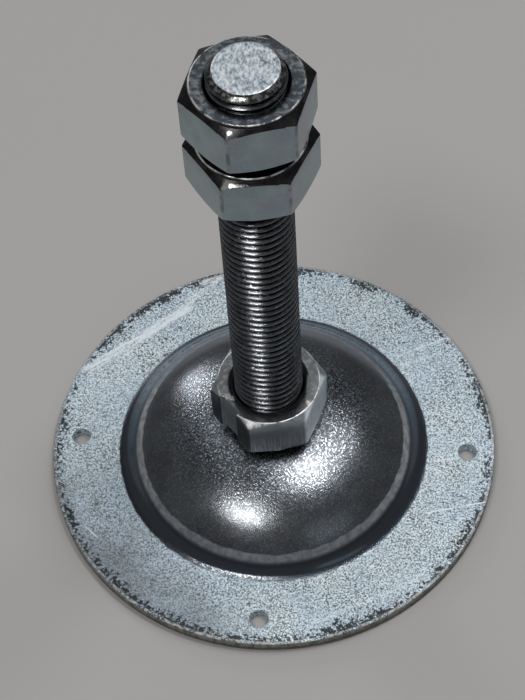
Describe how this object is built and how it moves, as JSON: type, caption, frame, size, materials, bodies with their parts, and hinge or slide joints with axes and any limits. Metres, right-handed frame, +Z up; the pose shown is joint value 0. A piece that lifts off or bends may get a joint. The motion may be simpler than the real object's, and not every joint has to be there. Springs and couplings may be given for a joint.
{
  "type": "furniture leveling foot",
  "caption": "Zinc-plated steel leveling foot: pressed round base with a domed ball joint, a threaded spindle with a wrench nut at its foot, and an adjusting nut with a lock nut.",
  "frame": {"origin": "centre of the base plate's underside, on the floor", "axes": "+Z up along the spindle; +X and +Y each pass through a fixing hole of the base plate"},
  "size_m": [0.135, 0.135, 0.1758],
  "materials": {
    "zinc_plate": "bright zinc plating, finely speckled",
    "plain_steel": "plain turned steel, hidden under the dome",
    "nylon": "natural nylon, hidden",
    "zinc_thread": "zinc-plated rolled thread",
    "zinc_nut": "zinc-plated, satin flats and dark chamfers"
  },
  "bodies": {
    "base": {"base_plate": "zinc_plate", "socket_plate": "plain_steel"},
    "shell_a": {"lower_shell": "nylon"},
    "shell_b": {"upper_shell": "nylon"},
    "stem": {"spindle": "zinc_thread", "foot_nut": "zinc_nut"},
    "adjuster": {"adjusting_nut": "zinc_nut"},
    "locker": {"lock_nut": "zinc_nut"}
  },
  "joints": [
    {"name": "swivel_x", "type": "hinge", "parent": "base", "child": "shell_a", "pos_m": [0, 0, 0.015], "axis": [1, 0, 0], "range_deg": [-7.5, 7.5]},
    {"name": "swivel_y", "type": "hinge", "parent": "shell_a", "child": "shell_b", "pos_m": [0, 0, 0.015], "axis": [0, 1, 0], "range_deg": [-7.5, 7.5]},
    {"name": "spindle_turn", "type": "hinge", "parent": "shell_b", "child": "stem", "pos_m": [0, 0, 0.015], "axis": [0, 0, 1], "range_deg": [-576, 13320]},
    {"name": "adjusting_nut_travel", "type": "slide", "parent": "shell_b", "child": "adjuster", "axis": [0, 0, 1], "range_m": [-0.0926, 0.0041]},
    {"name": "lock_nut_travel", "type": "slide", "parent": "adjuster", "child": "locker", "axis": [0, 0, 1], "range_m": [-0.0031, 0.0045]}
  ],
  "couplings": [
    {"joint": "adjusting_nut_travel", "follows": "spindle_turn", "m_per_rad": -0.00039789}
  ]
}
